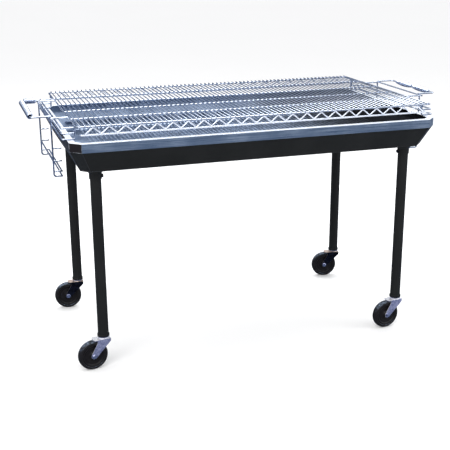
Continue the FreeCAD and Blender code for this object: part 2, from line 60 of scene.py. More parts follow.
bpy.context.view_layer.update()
EDGE_MARK = "edge"
QUARTER_TURN = math.radians(90.0)
# Vertices this close are one, and faces that turn by less than the angle are one flat face.
MERGE_DISTANCE = 1e-6
FLAT_ANGLE = math.radians(0.8)
# Most of an outline's side that a rounded corner may take.
CORNER_SHARE = 0.45
VALUE = "NodeSocketFloat"
VECTOR = "NodeSocketVector"

Triple = Tuple[float, float, float]
Colour = Triple
Mesh = bmesh.types.BMesh
Socket = bpy.types.NodeSocket
Material = bpy.types.Material


class Place(Enum):
    """Where a leg and its caster stand."""

    FRONT_LEFT = "front_left"
    FRONT_RIGHT = "front_right"
    BACK_LEFT = "back_left"
    BACK_RIGHT = "back_right"


class Side(Enum):
    """Sides of the firebox, by the ending of their nodes' names."""

    FRONT = "front"
    BACK = "back"
    LEFT = "left"
    RIGHT = "right"


class End(Enum):
    """Ends of the cooking grate."""

    LEFT = "left"
    RIGHT = "right"


# ---------------------------------------------------------------- node graphs

class Graph:
    """A node tree, with short ways to add nodes and join them."""

    def __init__(self, tree: bpy.types.NodeTree) -> None:
        """Keep the tree that the nodes go in.

        Args:
            tree: The material's or the group's node tree.
        """
        self.tree = tree

    def add(self, kind: str, inputs: Dict[object, object], **settings: object) -> bpy.types.Node:
        """Add one node.

        Args:
            kind: The node's type name.
            inputs: Values or sockets, by input name or number.
            settings: Properties of the node.

        Returns:
            The new node.
        """
        node = self.tree.nodes.new(kind)
        for name, value in settings.items():
            setattr(node, name, value)
        for key, value in inputs.items():
            self.feed(node.inputs[key], value)
        return node

    def feed(self, entry: Socket, value: object) -> None:
        """Give a value to a node's input, or join a socket to it.

        Args:
            entry: The input.
            value: The value or the socket.
        """
        if isinstance(value, Socket):
            self.tree.links.new(value, entry)
        else:
            entry.default_value = value

    def maths(self, operation: str, a: object, b: object = 0.0) -> Socket:
        """Join two numbers, each a value or a socket, and return the result's socket."""
        return self.add("ShaderNodeMath", {0: a, 1: b}, operation=operation).outputs[0]

    def remap(self, value: object, low: object, high: object,
              to_low: float = 0.0, to_high: float = 1.0) -> Socket:
        """Smoothly map a value from one range to another.

        Args:
            value: The number to map.
            low: Where the range starts.
            high: Where the range ends.
            to_low: Result at the start.
            to_high: Result at the end.

        Returns:
            The mapped value's socket.
        """
        inputs = {"Value": value, "From Min": low, "From Max": high, "To Min": to_low, "To Max": to_high}
        return self.add("ShaderNodeMapRange", inputs, interpolation_type="SMOOTHSTEP").outputs[0]

    def blend(self, factor: object, a: object, b: object) -> Socket:
        """Mix two colours, each a value or a socket, and return the result's socket.

        Args:
            factor: How much of the second colour shows.
            a: The first colour.
            b: The second colour.

        Returns:
            The mixed colour's socket.
        """
        # A Mix node's colour inputs are numbers 6 and 7, and its colour output is number 2.
        first, second = (rgba(c) if isinstance(c, tuple) else c for c in (a, b))
        return self.add("ShaderNodeMix", {0: factor, 6: first, 7: second}, data_type="RGBA").outputs[2]

    def noise(self, vector: object, scale: object, detail: float = 4.0,
              roughness: float = 0.55) -> Socket:
        """Add a noise texture and return its value's socket."""
        inputs = {"Vector": vector, "Scale": scale, "Detail": detail, "Roughness": roughness}
        return self.add("ShaderNodeTexNoise", inputs).outputs[0]

    def split(self, vector: object) -> bpy.types.bpy_prop_collection:
        """Split a vector and return its three sockets."""
        return self.add("ShaderNodeSeparateXYZ", {0: vector}).outputs


def rgba(colour: Colour) -> Tuple[float, float, float, float]:
    """Add full opacity to a colour."""
    return (*colour, 1.0)


class Effect(Graph):
    """A shader node group with named inputs and outputs, used by several finishes."""

    def __init__(self, name: str, inputs: Dict[str, Tuple[str, object]], outputs: Dict[str, str]) -> None:
        """Start the group and its sockets.

        Args:
            name: The group's name.
            inputs: Socket kind and default, by name.
            outputs: Socket kind, by name.
        """
        super().__init__(bpy.data.node_groups.new(name, "ShaderNodeTree"))
        for label, (kind, default) in inputs.items():
            socket = self.tree.interface.new_socket(label, in_out="INPUT", socket_type=kind)
            if default is not None:
                socket.default_value = default
        for label, kind in outputs.items():
            self.tree.interface.new_socket(label, in_out="OUTPUT", socket_type=kind)
        self.given = self.tree.nodes.new("NodeGroupInput").outputs
        self.result = self.tree.nodes.new("NodeGroupOutput").inputs

    def give(self, label: str, socket: Socket) -> None:
        """Join a socket to one of the group's outputs."""
        self.tree.links.new(socket, self.result[label])


@dataclass
class Effects:
    """The surface effects that the finishes share, each built once."""

    streaks: Effect = field(init=False)
    mottle: Effect = field(init=False)
    dust_and_sheen: Effect = field(init=False)
    soot_and_shade: Effect = field(init=False)
    wear: Effect = field(init=False)

    def __post_init__(self) -> None:
        """Build the groups."""
        for effect in fields(self):
            setattr(self, effect.name, getattr(self, "build_" + effect.name)())

    def build_streaks(self) -> Effect:
        """Fine parallel marks, long where Stretch is small.

        Returns:
            A group that puts out the marks as a value round 0.5.
        """
        inputs = {"Vector": (VECTOR, None), "Stretch": (VECTOR, (1.0, 60.0, 60.0)), "Scale": (VALUE, 6.0)}
        group = Effect("brushed_streaks", inputs, {"Streak": VALUE})
        scaled = group.add("ShaderNodeVectorMath", {0: group.given["Vector"], 1: group.given["Stretch"]},
                           operation="MULTIPLY").outputs[0]
        group.give("Streak", group.noise(scaled, group.given["Scale"], 5.0, 0.7))
        return group

    def build_mottle(self) -> Effect:
        """Large soft patches.

        Returns:
            A group that puts out a mask from 0 to 1.
        """
        inputs = {"Vector": (VECTOR, None), "Scale": (VALUE, 8.0), "Low": (VALUE, 0.4),
                  "High": (VALUE, 0.65)}
        group = Effect("mottled_patches", inputs, {"Mask": VALUE})
        cloud = group.noise(group.given["Vector"], group.given["Scale"], 5.0, 0.6)
        group.give("Mask", group.remap(cloud, group.given["Low"], group.given["High"]))
        return group

    def build_dust_and_sheen(self) -> Effect:
        """Ash and dust that settle on faces that look upwards; on the tyres the same mask paints a sheen.

        Returns:
            A group that puts out a mask from 0 to 1.
        """
        inputs = {"Vector": (VECTOR, None), "Normal": (VECTOR, None), "Scale": (VALUE, 60.0),
                  "Amount": (VALUE, 0.5)}
        group = Effect("settled_dust_and_sheen", inputs, {"Mask": VALUE})
        upward = group.remap(group.split(group.given["Normal"])[2], 0.25, 0.95)
        fine = group.remap(group.noise(group.given["Vector"], group.given["Scale"], 6.0, 0.7), 0.38, 0.68)
        mask = group.maths("MULTIPLY", upward, fine)
        group.give("Mask", group.maths("MULTIPLY", mask, group.given["Amount"]))
        return group

    def build_soot_and_shade(self) -> Effect:
        """Soot and painted shade that thicken along the length of the firebox, with a ragged front.

        Returns:
            A group that puts out a mask from 0, clean, to 1, black.
        """
        inputs = {"Vector": (VECTOR, None), "Clean": (VALUE, 0.0), "Black": (VALUE, 0.5),
                  "Ragged": (VALUE, 0.3)}
        group = Effect("soot_and_shade_front", inputs, {"Mask": VALUE})
        along = group.split(group.given["Vector"])[0]
        cloud = group.maths("SUBTRACT", group.noise(group.given["Vector"], 5.0, 6.0, 0.65), 0.5)
        shifted = group.maths("ADD", along, group.maths("MULTIPLY", cloud, group.given["Ragged"]))
        group.give("Mask", group.remap(shifted, group.given["Clean"], group.given["Black"]))
        return group

    def build_wear(self) -> Effect:
        """Rubbed edges, broken up by noise.

        Returns:
            A group that puts out a mask from 0 to 1.
        """
        inputs = {"Vector": (VECTOR, None), "Edge": (VALUE, 0.0), "Scale": (VALUE, 45.0),
                  "Amount": (VALUE, 1.0)}
        group = Effect("worn_edges", inputs, {"Mask": VALUE})
        broken = group.remap(group.noise(group.given["Vector"], group.given["Scale"], 5.0, 0.7), 0.42, 0.62)
        mask = group.maths("MULTIPLY", group.given["Edge"], broken)
        group.give("Mask", group.maths("MULTIPLY", mask, group.given["Amount"]))
        return group


class Surface(Graph):
    """One material: a Principled surface whose patterns follow Object coordinates."""

    def __init__(self, name: str) -> None:
        """Start the material.

        Args:
            name: The material's name.
        """
        self.material = bpy.data.materials.new(name)
        self.material.use_nodes = True
        super().__init__(self.material.node_tree)
        self.shader = self.tree.nodes["Principled BSDF"]
        coordinates = self.tree.nodes.new("ShaderNodeTexCoord")
        self.where = coordinates.outputs["Object"]
        self.facing = coordinates.outputs["Normal"]
        self.edge = self.add("ShaderNodeAttribute", {}, attribute_name=EDGE_MARK).outputs["Fac"]

    def effect(self, group: Effect, **inputs: object) -> Socket:
        """Place an effect with its own values and return its first output."""
        placed = {"Vector": self.where, **inputs}
        return self.add("ShaderNodeGroup", placed, node_tree=group.tree).outputs[0]

    def set(self, label: str, value: object) -> None:
        """Set or join one of the surface's inputs."""
        self.feed(self.shader.inputs[label], value)

    def bump(self, height: Socket, distance: float, strength: float = 0.5) -> None:
        """Raise fine relief from a height.

        Args:
            height: The height's socket.
            distance: Depth of the relief in metres.
            strength: How strongly it shows.
        """
        node = self.add("ShaderNodeBump", {"Height": height, "Distance": distance, "Strength": strength})
        self.set("Normal", node.outputs["Normal"])


# ---------------------------------------------------------------- finishes

BLACK_PAINT = (0.0105, 0.0112, 0.0112)
FADED_PAINT = (0.0138, 0.0146, 0.0146)
RUBBED_PAINT = (0.060, 0.062, 0.068)


@dataclass(frozen=True)
class Enamel:
    """Satin black heat-proof paint, with dust, scuffs and rubbed edges."""

    name: str = "satin_black_enamel"
    colour: Colour = BLACK_PAINT
    faded: Colour = FADED_PAINT
    dust_and_sheen_colour: Colour = (0.045, 0.044, 0.042)
    rubbed: Colour = RUBBED_PAINT
    specular: float = 0.13
    dust_and_sheen_amount: float = 0.18

    def build(self, effects: Effects) -> Material:
        """Build the material.

        Args:
            effects: The shared effect groups.

        Returns:
            The finished material.
        """
        surface = Surface(self.name)
        patches = surface.effect(effects.mottle, Scale=5.0, Low=0.35, High=0.7)
        base = surface.blend(patches, self.colour, self.faded)
        dust_and_sheen = surface.effect(effects.dust_and_sheen, Normal=surface.facing, Scale=40.0, Amount=self.dust_and_sheen_amount)
        base = surface.blend(dust_and_sheen, base, self.dust_and_sheen_colour)
        worn = surface.effect(effects.wear, Edge=surface.edge, Scale=60.0, Amount=0.5)
        surface.set("Base Color", surface.blend(worn, base, self.rubbed))
        scuffs = surface.noise(surface.where, 120.0, 6.0, 0.7)
        surface.set("Roughness", surface.remap(scuffs, 0.3, 0.75, 0.38, 0.56))
        surface.set("Specular IOR Level", self.specular)
        surface.bump(surface.noise(surface.where, 900.0, 3.0), 0.00012, 0.35)
        return surface.material


@dataclass(frozen=True)
class RimSteel:
    """Bare steel of the rim: blued band, painted highlight on the ledge, and black paint and painted shade
    at the left end and on the end faces.
    """

    name: str = "rim_steel"
    band: Colour = (0.40, 0.50, 0.60)
    band_light: Colour = (0.86, 0.94, 0.98)
    ledge_highlight: Colour = (0.83, 0.86, 0.91)
    black: Colour = (0.010, 0.0075, 0.0085)
    edge: Colour = (0.62, 0.66, 0.73)
    stretch: Triple = (1.6, 110.0, 110.0)
    ledge_highlight_metallic: float = 0.25
    specular: float = 0.3

    def build(self, effects: Effects) -> Material:
        """Build the material.

        Args:
            effects: The shared effect groups.

        Returns:
            The finished material.
        """
        surface = Surface(self.name)
        streak = surface.effect(effects.streaks, Stretch=self.stretch, Scale=3.0)
        cloud = surface.effect(effects.mottle, Scale=7.0, Low=0.35, High=0.7)
        uneven = surface.maths("ADD", cloud, 0.35)
        shade = surface.maths("MULTIPLY", surface.remap(streak, 0.36, 0.66), uneven)
        band = surface.blend(shade, self.band, self.band_light)
        across, _, up = surface.split(surface.facing)
        # Faces that look up take the light ledge colour: a painted highlight along the top of the rim.
        top = surface.remap(up, 0.35, 0.75)
        steel = surface.blend(top, band, self.ledge_highlight)
        # Black on the end faces and on faces that turn to the left: black paint on the ends, and painted
        # shade on the left end and its clipped corners.
        end_face = surface.remap(surface.maths("ABSOLUTE", across), 0.84, 0.88)
        shaded_left_face = surface.remap(surface.maths("MULTIPLY", across, -1.0), 0.30, 0.45)
        black_paint_and_shade = surface.maths("MULTIPLY", surface.maths("MAXIMUM", end_face, shaded_left_face),
                                surface.maths("SUBTRACT", 1.0, top))
        worn = surface.effect(effects.wear, Edge=surface.edge, Scale=50.0, Amount=0.8)
        black_paint_and_shade_colour = surface.blend(worn, self.black, self.edge)
        surface.set("Base Color", surface.blend(black_paint_and_shade, steel, black_paint_and_shade_colour))
        bare = surface.maths("SUBTRACT", 1.0, black_paint_and_shade)
        # Less metal on faces that look up, so the painted highlight on the ledge reads white.
        metallic = surface.remap(top, 0.0, 1.0, 1.0, self.ledge_highlight_metallic)
        surface.set("Metallic", surface.maths("MULTIPLY", bare, metallic))
        surface.set("Roughness", surface.maths("ADD", surface.remap(streak, 0.3, 0.7, 0.26, 0.42),
                                               surface.maths("MULTIPLY", black_paint_and_shade, 0.12)))
        surface.set("Specular IOR Level", self.specular)
        surface.bump(streak, 0.00008, 0.5)
        return surface.material


@dataclass(frozen=True)
class TubSteel:
    """Sheet of the tub: black outside, and inside bare steel that soot and painted shade blacken towards
    one end.
    """

    name: str = "tub_sheet"
    outside: Colour = BLACK_PAINT
    outside_faded: Colour = FADED_PAINT
    rubbed: Colour = RUBBED_PAINT
    inside: Colour = (0.155, 0.205, 0.300)
    inside_light: Colour = (0.34, 0.41, 0.53)
    soot_and_shade: Colour = (0.0085, 0.0090, 0.0105)
    clean_x: float = 0.08
    black_x: float = 0.50
    ragged: float = 0.30
    specular: float = 0.13

    def build(self, effects: Effects) -> Material:
        """Build the material.

        Args:
            effects: The shared effect groups.

        Returns:
            The finished material.
        """
        surface = Surface(self.name)
        x, y, _ = surface.split(surface.where)
        facing_x, facing_y, facing_z = surface.split(surface.facing)
        out_x = surface.maths("MULTIPLY", x, facing_x)
        out_y = surface.maths("MULTIPLY", y, facing_y)
        outward = surface.maths("ADD", out_x, out_y)
        inward = surface.remap(surface.maths("MULTIPLY", outward, -1.0), 0.0, 0.05)
        upward = surface.remap(facing_z, 0.7, 0.9)
        inner = surface.maths("MAXIMUM", inward, upward)
        ash = surface.effect(effects.mottle, Scale=9.0, Low=0.38, High=0.68)
        bare = surface.blend(ash, self.inside, self.inside_light)
        # Soot and painted shade: the lining darkens towards +X, where the right end of the firebox lies in
        # shade.
        soot_and_shade = surface.effect(effects.soot_and_shade, Clean=self.clean_x, Black=self.black_x, Ragged=self.ragged)
        lining = surface.blend(soot_and_shade, bare, self.soot_and_shade)
        patches = surface.effect(effects.mottle, Scale=5.0, Low=0.35, High=0.7)
        shell = surface.blend(patches, self.outside, self.outside_faded)
        worn = surface.effect(effects.wear, Edge=surface.edge, Scale=60.0, Amount=0.5)
        shell = surface.blend(worn, shell, self.rubbed)
        surface.set("Base Color", surface.blend(inner, shell, lining))
        clean = surface.maths("SUBTRACT", 1.0, soot_and_shade)
        surface.set("Metallic", surface.maths("MULTIPLY", surface.maths("MULTIPLY", inner, clean), 0.8))
        grit = surface.noise(surface.where, 130.0, 6.0, 0.7)
        surface.set("Roughness", surface.remap(grit, 0.3, 0.75, 0.38, 0.58))
        surface.set("Specular IOR Level", self.specular)
        surface.bump(surface.noise(surface.where, 700.0, 4.0), 0.00015, 0.4)
        return surface.material


@dataclass(frozen=True)
class Plated:
    """Bright or dull plated steel: wires, coil springs, casters and screws."""

    name: str
    colour: Colour
    stain: Colour
    smooth: float
    rough: float
    stretch: Triple = (12.0, 12.0, 12.0)
    stain_scale: float = 14.0
    stain_low: float = 0.55
    stain_spread: float = 0.22
    relief: float = 0.00005
    metallic: float = 1.0
    rubbed: Colour = (0.86, 0.88, 0.92)
    with_soot_and_shade: bool = False
    soot_and_shade: Colour = (0.020, 0.022, 0.027)
    clean_x: float = 0.20
    black_x: float = 0.62
    top_highlight: Colour = (0.0, 0.0, 0.0)
    top_highlight_amount: float = 0.0

    def build(self, effects: Effects) -> Material:
        """Build the material.

        Args:
            effects: The shared effect groups.

        Returns:
            The finished material.
        """
        surface = Surface(self.name)
        stained = surface.effect(effects.mottle, Scale=self.stain_scale, Low=self.stain_low,
                                 High=self.stain_low + self.stain_spread)
        base = surface.blend(stained, self.colour, self.stain)
        # Soot and painted shade that darken the charcoal grate towards +X.
        if self.with_soot_and_shade:
            soot_and_shade = surface.effect(effects.soot_and_shade, Clean=self.clean_x, Black=self.black_x)
            base = surface.blend(soot_and_shade, base, self.soot_and_shade)
        # Painted highlight: faces that look up are blended towards a lighter colour.
        if self.top_highlight_amount > 0.0:
            upward = surface.remap(surface.split(surface.facing)[2], 0.1, 0.6, 0.0, self.top_highlight_amount)
            base = surface.blend(upward, base, self.top_highlight)
        worn = surface.effect(effects.wear, Edge=surface.edge, Scale=80.0, Amount=0.6)
        surface.set("Base Color", surface.blend(worn, base, self.rubbed))
        streak = surface.effect(effects.streaks, Stretch=self.stretch, Scale=9.0)
        surface.set("Roughness", surface.remap(streak, 0.3, 0.7, self.smooth, self.rough))
        surface.set("Metallic", self.metallic)
        surface.bump(streak, self.relief, 0.5)
        return surface.material


@dataclass(frozen=True)
class Moulded:
    """Dark hard rubber or plastic of the wheels, scuffed and dusty; on the tyres the dust mask paints a
    blue-grey sheen on the upper tread.
    """

    name: str
    colour: Colour
    scuffed: Colour
    smooth: float
    rough: float
    specular: float = 0.30
    dust_and_sheen_colour: Colour = (0.10, 0.105, 0.115)
    dust_and_sheen_amount: float = 0.35

    def build(self, effects: Effects) -> Material:
        """Build the material.

        Args:
            effects: The shared effect groups.

        Returns:
            The finished material.
        """
        surface = Surface(self.name)
        scuff = surface.effect(effects.mottle, Scale=55.0, Low=0.5, High=0.74)
        base = surface.blend(scuff, self.colour, self.scuffed)
        # Dust on faces that look up; on the tyres this is a painted sheen.
        dust_and_sheen = surface.effect(effects.dust_and_sheen, Normal=surface.facing, Scale=90.0, Amount=self.dust_and_sheen_amount)
        surface.set("Base Color", surface.blend(dust_and_sheen, base, self.dust_and_sheen_colour))
        grain = surface.noise(surface.where, 260.0, 5.0, 0.65)
        surface.set("Roughness", surface.remap(grain, 0.3, 0.7, self.smooth, self.rough))
        surface.set("Specular IOR Level", self.specular)
        surface.bump(grain, 0.0001, 0.35)
        return surface.material


@dataclass
class Finishes:
    """Every material of the grill, built once."""

    effects: Effects
    enamel: Material = field(init=False)
    rim: Material = field(init=False)
    tub: Material = field(init=False)
    iron: Material = field(init=False)
    chrome: Material = field(init=False)
    truss: Material = field(init=False)
    coil: Material = field(init=False)
    zinc: Material = field(init=False)
    dark_zinc: Material = field(init=False)
    bolt: Material = field(init=False)
    weld: Material = field(init=False)
    rubber: Material = field(init=False)
    plastic: Material = field(init=False)

    def __post_init__(self) -> None:
        """Build the materials."""
        plated = {
            "iron": Plated("charcoal_grate_steel", (0.50, 0.57, 0.68), (0.25, 0.29, 0.36), 0.28, 0.46,
                           stain_scale=20.0, stain_low=0.42, with_soot_and_shade=True),
            # Chrome, coil and zinc carry a lighter colour for faces that look up: a painted highlight.
            "chrome": Plated("chrome_wire", (0.52, 0.57, 0.68), (0.34, 0.39, 0.50), 0.10, 0.22,
                             stain_scale=16.0, stain_low=0.5, top_highlight=(0.88, 0.91, 0.95), top_highlight_amount=0.65),
            # A lighter, less metallic copy of the chrome wire, so the truss reads bright from every side:
            # painted highlight.
            "truss": Plated("highlight_truss_wire", (0.80, 0.84, 0.92), (0.62, 0.67, 0.78), 0.12, 0.26,
                            stain_scale=16.0, stain_low=0.5, metallic=0.45),
            "coil": Plated("coil_spring_wire", (0.50, 0.56, 0.70), (0.32, 0.38, 0.52), 0.12, 0.26,
                           stain_scale=40.0, stain_low=0.5, top_highlight=(0.90, 0.93, 0.97), top_highlight_amount=0.45),
            "zinc": Plated("zinc_plated_steel", (0.29, 0.31, 0.48), (0.17, 0.19, 0.33), 0.20, 0.42,
                           stretch=(14.0, 14.0, 90.0), stain_scale=70.0, stain_low=0.4, metallic=0.5,
                           top_highlight=(0.95, 0.94, 0.96), top_highlight_amount=1.0),
            # A darker copy of the zinc: painted shade on the back forks, with a pinkish painted highlight
            # on faces that look up.
            "dark_zinc": Plated("shaded_zinc_steel", (0.030, 0.032, 0.050), (0.014, 0.014, 0.018),
                                0.30, 0.50, stretch=(14.0, 14.0, 90.0), stain_scale=70.0, stain_low=0.4,
                                top_highlight=(0.80, 0.62, 0.50), top_highlight_amount=0.9),
            # A lighter copy of the plated steel for the axle bolts: painted highlight.
            "bolt": Plated("highlight_bolt_steel", (0.62, 0.63, 0.78), (0.30, 0.32, 0.46), 0.14, 0.30,
                           stain_scale=90.0, stain_low=0.5),
            "weld": Plated("black_weld_bead", (0.016, 0.016, 0.017), (0.030, 0.030, 0.032), 0.40, 0.60,
                           stain_scale=120.0, metallic=0.2, relief=0.0001),
        }
        for label, finish in plated.items():
            setattr(self, label, finish.build(self.effects))
        self.enamel = Enamel().build(self.effects)
        self.rim = RimSteel().build(self.effects)
        self.tub = TubSteel().build(self.effects)
        # The tyre's dust colour and amount paint a blue-grey sheen on its upper tread.
        self.rubber = Moulded("hard_rubber_tread", (0.0095, 0.0085, 0.0095), (0.016, 0.016, 0.018),
                              0.34, 0.54, 0.22, (0.20, 0.26, 0.36), 0.9).build(self.effects)
        self.plastic = Moulded("moulded_wheel_core", (0.0090, 0.0078, 0.0086), (0.014, 0.013, 0.0145),
                               0.34, 0.52, 0.20).build(self.effects)


# ---------------------------------------------------------------- mesh helpers

def bevel_sharp(bm: Mesh, width: float, angle: float = 30.0, segments: int = 2) -> None:
    """Round the edges whose faces turn sharply.

    Args:
        bm: The mesh.
        width: Width of the rounding in metres.
        angle: Least turn, in degrees, of an edge that is rounded.
        segments: Steps across the rounding.
    """
    mark = bm.faces.layers.float.get(EDGE_MARK) or bm.faces.layers.float.new(EDGE_MARK)
    limit = math.radians(angle)
    sharp = [e for e in bm.edges if len(e.link_faces) == 2 and e.calc_face_angle(0.0) > limit]
    made = bmesh.ops.bevel(bm, geom=sharp, offset=width, offset_type="OFFSET", segments=segments,
                           profile=0.5, affect="EDGES", clamp_overlap=True, material=-1)
    for face in made["faces"]:
        face[mark] = 1.0


def cad_copy(*nodes: str) -> Mesh:
    """Merged copy of CAD nodes, with its flat faces whole again.

    Args:
        nodes: Names of the CAD nodes.

    Returns:
        The new mesh.
    """
    bm = bmesh.new()
    for node in nodes:
        bm.from_mesh(frame["nodes"][node].data)
    bmesh.ops.remove_doubles(bm, verts=bm.verts, dist=MERGE_DISTANCE)
    bmesh.ops.dissolve_limit(bm, angle_limit=FLAT_ANGLE, verts=bm.verts, edges=bm.edges)
    return bm


def lathe(profile: Sequence[Tuple[float, float]], steps: int = 64) -> Mesh:
    """Turn a closed outline about the Y axis.

    Args:
        profile: Points as (distance from the axis, place along it), in order round the outline.
        steps: Steps round the full turn.

    Returns:
        The turned mesh, centred on the origin.
    """
    bm = bmesh.new()
    verts = [bm.verts.new((radius, along, 0.0)) for radius, along in profile]
    edges = [bm.edges.new((verts[i - 1], verts[i])) for i in range(len(verts))]
    bmesh.ops.spin(bm, geom=verts + edges, cent=(0, 0, 0), axis=(0, 1, 0), dvec=(0, 0, 0),
                   angle=math.tau, steps=steps, use_merge=True, use_duplicate=False)
    bmesh.ops.remove_doubles(bm, verts=bm.verts, dist=MERGE_DISTANCE)
    return bm


def rounded(profile: Sequence[Triple], steps: int = 4) -> List[Tuple[float, float]]:
    """Round the corners of a closed outline.

    Args:
        profile: Corners as (radius, place along the axis, rounding).
        steps: Steps round each corner.

    Returns:
        Outline points as (radius, place along the axis).
    """
    points: List[Tuple[float, float]] = []
    count = len(profile)
    for i, (radius, along, rounding) in enumerate(profile):
        corner = Vector((radius, along))
        before = Vector(profile[i - 1][:2]) - corner
        after = Vector(profile[(i + 1) % count][:2]) - corner
        if rounding <= 0.0:
            points.append((radius, along))
            continue
        reach = min(rounding, CORNER_SHARE * before.length, CORNER_SHARE * after.length)
        start = corner + before.normalized() * reach
        end = corner + after.normalized() * reach
        for k in range(steps + 1):
            t = k / steps
            point = start * (1 - t) ** 2 + corner * 2 * t * (1 - t) + end * t ** 2
            points.append((point.x, point.y))
    return points


def both_sides(right: Sequence[Triple]) -> List[Triple]:
    """Outline that runs along a mirrored left half and then along the right half.

    Args:
        right: Corners of the right half as (radius, place along the axis, rounding).

    Returns:
        Corners of the whole outline.
    """
    return [(radius, -along, rounding) for radius, along, rounding in reversed(right)] + list(right)


def upright(centre: Vector) -> Matrix:
    """Placement that stands a mesh turned about Y on the floor, under or over a point."""
    return Matrix.Translation((centre.x, centre.y, 0.0)) @ Matrix.Rotation(QUARTER_TURN, 4, "X")


def joined(parts: Iterable[Mesh]) -> Mesh:
    """Put several meshes into one and free them.

    Args:
        parts: The meshes.

    Returns:
        One mesh that holds them all.
    """
    whole = bmesh.new()
    for part in parts:
        mesh = bpy.data.meshes.new("part")
        part.to_mesh(mesh)
        part.free()
        whole.from_mesh(mesh)
        bpy.data.meshes.remove(mesh)
    return whole


def make_piece(bm: Mesh, name: str, material: Material, body: str,
               replaces: Sequence[str] = (), smooth: float = 35.0, even: bool = False) -> bpy.types.Object:
    """Turn a mesh into a finished piece that rides on a body.

    Args:
        bm: The mesh, in place. It is freed.
        name: The piece's name.
        material: Its finish.
        body: The CAD body that it moves with.
        replaces: CAD nodes that it stands for.
        smooth: Edges that turn by more than this, in degrees, stay sharp.
        even: Shade large flat faces evenly, for sheet metal with rounded edges.

    Returns:
        The piece.
    """
    bmesh.ops.recalc_face_normals(bm, faces=bm.faces)
    mesh = bpy.data.meshes.new(name)
    bm.to_mesh(mesh)
    bm.free()
    mesh.shade_smooth()
    mesh.set_sharp_from_angle(angle=math.radians(smooth))
    mesh.materials.append(material)
    piece = bpy.data.objects.new(name, mesh)
    bpy.context.scene.collection.objects.link(piece)
    if even:
        shading = piece.modifiers.new("even_shading", "WEIGHTED_NORMAL")
        shading.weight = 100
        shading.keep_sharp = True
    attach(piece, body)
    if replaces:
        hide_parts(*replaces)
    LOG.info("%s rides on %s, %d faces", name, body, len(mesh.polygons))
    return piece


def dress(node: str, material: Material) -> None:
    """Give a CAD node that stays its finish.

    Args:
        node: The node's name.
        material: Its finish.
    """
    piece = frame["nodes"][node]
    if not piece.material_slots:
        piece.data.materials.append(material)
    for slot in piece.material_slots:
        slot.material = material
    LOG.info("%s keeps its CAD shape, in %s", node, material.name)


def furthest(node: str, direction: Triple) -> Vector:
    """Corner of a CAD node that lies furthest along a direction.

    Args:
        node: The node's name.
        direction: The direction.

    Returns:
        The corner.
    """
    way = Vector(direction)
    return max((v.co.copy() for v in frame["nodes"][node].data.vertices), key=way.dot)


def joint(name: str) -> Dict[str, object]:
    """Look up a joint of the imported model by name."""
    return next(j for j in frame["joints"] if j["name"] == name)


def add_bead(bm: Mesh, place: Vector, size: Triple, turn: float = 0.0,
             fineness: int = 1) -> None:
    """Add one flattened drop of weld metal.

    Args:
        bm: The mesh it goes in.
        place: Its centre.
        size: Half sizes along X, Y and Z.
        turn: Turn about Z in radians.
        fineness: Subdivisions of the starting ball.
    """
    matrix = Matrix.Translation(place) @ Matrix.Rotation(turn, 4, "Z") @ Matrix.Diagonal((*size, 1.0))
    bmesh.ops.create_icosphere(bm, subdivisions=fineness, radius=1.0, matrix=matrix)


# ---------------------------------------------------------------- sub-assemblies

@dataclass
class Firebox:
    """Tub, rim and charcoal grate."""

    finishes: Finishes
    edge: float = 0.0008
    rolled_edge: float = 0.00112
    fold: float = 25.0
    bead_radius: float = 0.0019
    bead_pitch: float = 0.0030
    sunk: float = 0.0008

    def build(self) -> None:
        """Build every piece of the firebox."""
        self.build_tub()
        self.build_rim()
        self.build_seams()
        self.dress_charcoal_grate()

    def build_tub(self) -> None:
        """Walls, corner plates and floor, with their sheared edges rounded."""
        nodes = ["tub_wall_" + side.value for side in Side] + ["tub_corner_plates", "tub_floor"]
        for node in nodes:
            bm = cad_copy(node)
            bevel_sharp(bm, self.edge, self.fold)
            make_piece(bm, node + "_sheet", self.finishes.tub, "firebox", [node],
                       even=True)

    def build_rim(self) -> None:
        """Rim lengths and corners, with rolled edges."""
        for node in ["rim_" + side.value for side in Side] + ["rim_corners"]:
            bm = cad_copy(node)
            bevel_sharp(bm, self.rolled_edge, self.fold, 3)
            make_piece(bm, node + "_band", self.finishes.rim, "firebox", [node], even=True)

    def build_seams(self) -> None:
        """Weld beads down the eight upright seams of the tub."""
        bm = bmesh.new()
        for side_y, long_side in ((-1.0, "tub_wall_front"), (1.0, "tub_wall_back")):
            for side_x, short_side in ((-1.0, "tub_wall_left"), (1.0, "tub_wall_right")):
                self.add_seam(bm, long_side, (0.2 * side_x, side_y))
                self.add_seam(bm, short_side, (side_x, 0.2 * side_y))
        make_piece(bm, "tub_seam_welds", self.finishes.weld, "firebox")

    def add_seam(self, bm: Mesh, node: str, way: Tuple[float, float]) -> None:
        """Add the beads of one seam, at the end of one wall.

        Args:
            bm: The mesh they go in.
            node: The wall.
            way: Direction of the seam from the middle of the firebox.
        """
        top = furthest(node, (way[0], way[1], -0.05))
        foot = furthest(node, (0.1 * way[0], 0.1 * way[1], -1.0))
        inwards = Vector((-top.x, -top.y, 0.0)).normalized() * self.sunk
        run = foot - top
        count = int(run.length / self.bead_pitch)
        size = (self.bead_radius, self.bead_radius, self.bead_radius * 1.2)
        for i in range(1, count):
            add_bead(bm, top + run * (i / count) + inwards, size, 0.4 * i, 2)

    def dress_charcoal_grate(self) -> None:
        """Finish the bars, rails and ledges that hold the charcoal."""
        for part in ("bars", "rails", "ledges"):
            dress("charcoal_grate_" + part, self.finishes.iron)


